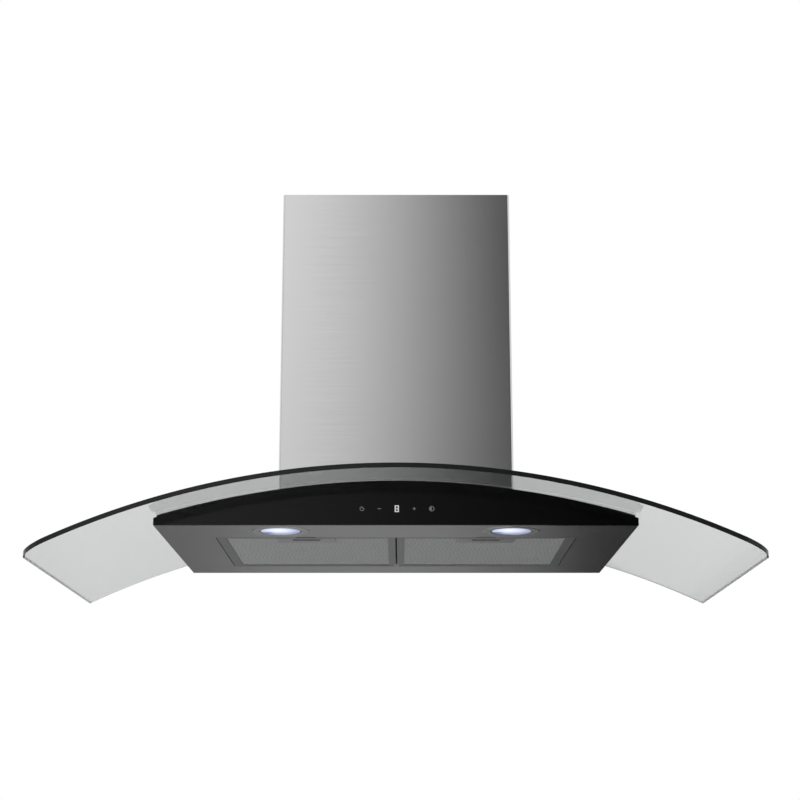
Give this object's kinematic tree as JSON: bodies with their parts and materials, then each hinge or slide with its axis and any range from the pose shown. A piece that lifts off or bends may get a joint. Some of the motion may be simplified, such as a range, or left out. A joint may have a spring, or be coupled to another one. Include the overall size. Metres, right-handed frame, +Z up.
{
  "type": "range hood",
  "caption": "Wall-mounted chimney range hood with a bowed clear glass canopy, black touch fascia, grease filters on drop-down hinges, lamps, blower and a telescoping chimney cover.",
  "frame": {"origin": "on the wall plane, in the middle of the hood, level with the underside of its body", "axes": "+X to the right seen from the front, +Y into the wall, +Z up along the chimney"},
  "size_m": [0.9, 0.5, 0.5294],
  "materials": {
    "brushed_steel": "horizontally brushed stainless steel",
    "zinc_sheet": "zinc-coated sheet steel",
    "black_glass": "black glass, painted behind",
    "clear_glass": "clear tempered glass with polished edges",
    "rubber": "black rubber",
    "black_plastic": "moulded black plastic",
    "grey_plastic": "moulded grey plastic",
    "circuit_board": "green circuit board",
    "screw_steel": "bright zinc-plated steel",
    "motor_steel": "pressed motor steel",
    "bronze": "sintered bronze",
    "lamp_chrome": "satin chrome ring",
    "lamp_lens": "frosted lens, lit white from behind",
    "aluminium": "bare aluminium",
    "latch_bar": "pressed steel bar"
  },
  "bodies": {
    "hood": {"bottom_panel": "brushed_steel", "rear_panel": "zinc_sheet", "top_panel": "zinc_sheet", "fascia_carrier": "zinc_sheet", "fascia_glass": "black_glass", "control_tray": "black_plastic", "touch_board": "circuit_board", "canopy_glass": "clear_glass", "canopy_seal": "rubber", "glass_pads": "rubber", "glass_clamps": "zinc_sheet", "clamp_screws": "screw_steel", "back_plate": "zinc_sheet", "motor_box": "zinc_sheet", "volute_left": "black_plastic", "volute_right": "black_plastic", "motor_stator": "motor_steel", "motor_bushes": "bronze", "motor_housing": "motor_steel", "motor_spider": "zinc_sheet", "power_box": "grey_plastic", "power_board": "circuit_board", "power_lid": "grey_plastic", "capacitor": "grey_plastic", "cable_gland": "black_plastic", "outlet_collar": "black_plastic", "flap_pins": "screw_steel", "lower_chimney": "brushed_steel", "chimney_clips": "zinc_sheet", "cover_screws": "screw_steel", "lamp_bezel_left": "lamp_chrome", "lamp_bezel_right": "lamp_chrome", "lamp_lens_left": "lamp_lens", "lamp_lens_right": "lamp_lens", "led_board_left": "circuit_board", "led_board_right": "circuit_board", "lamp_can_left": "aluminium", "lamp_can_right": "aluminium", "lamp_springs": "screw_steel", "filter_hanger": "zinc_sheet"},
    "upper_cover": {"upper_chimney": "brushed_steel", "ceiling_bracket": "zinc_sheet", "bracket_screws": "screw_steel"},
    "fan": {"impeller": "grey_plastic", "motor_shaft": "screw_steel", "motor_rotor": "motor_steel"},
    "front_flap": {"flap_front": "black_plastic"},
    "rear_flap": {"flap_rear": "black_plastic"},
    "left_filter": {"filter_frame_left": "aluminium", "filter_mesh_left": "aluminium", "filter_pins_left": "screw_steel", "latch_case_left": "zinc_sheet", "latch_cover_left": "brushed_steel"},
    "right_filter": {"filter_frame_right": "aluminium", "filter_mesh_right": "aluminium", "filter_pins_right": "screw_steel", "latch_case_right": "zinc_sheet", "latch_cover_right": "brushed_steel"},
    "left_latch": {"latch_bar_left": "latch_bar"},
    "right_latch": {"latch_bar_right": "latch_bar"}
  },
  "joints": [
    {"name": "upper_cover_slide", "type": "slide", "parent": "hood", "child": "upper_cover", "axis": [0, 0, 1], "range_m": [0, 0.24]},
    {"name": "fan_spin", "type": "hinge", "parent": "hood", "child": "fan", "pos_m": [0, -0.174, 0.148], "axis": [1, 0, 0], "continuous": true},
    {"name": "front_flap_hinge", "type": "hinge", "parent": "hood", "child": "front_flap", "pos_m": [0, -0.136, 0.318], "axis": [-1, 0, 0], "range_deg": [0, 80]},
    {"name": "rear_flap_hinge", "type": "hinge", "parent": "hood", "child": "rear_flap", "pos_m": [0, -0.126, 0.318], "axis": [1, 0, 0], "range_deg": [0, 80]},
    {"name": "left_filter_hinge", "type": "hinge", "parent": "hood", "child": "left_filter", "pos_m": [-0.116, -0.0773, 0.0045], "axis": [1, 0, 0], "range_deg": [0, 75]},
    {"name": "right_filter_hinge", "type": "hinge", "parent": "hood", "child": "right_filter", "pos_m": [0.116, -0.0773, 0.0045], "axis": [1, 0, 0], "range_deg": [0, 75]},
    {"name": "left_latch_slide", "type": "slide", "parent": "left_filter", "child": "left_latch", "axis": [0, 1, 0], "range_m": [0, 0.005], "stiffness_N_per_m": 300, "springref_m": -0.006},
    {"name": "right_latch_slide", "type": "slide", "parent": "right_filter", "child": "right_latch", "axis": [0, 1, 0], "range_m": [0, 0.005], "stiffness_N_per_m": 300, "springref_m": -0.006}
  ]
}
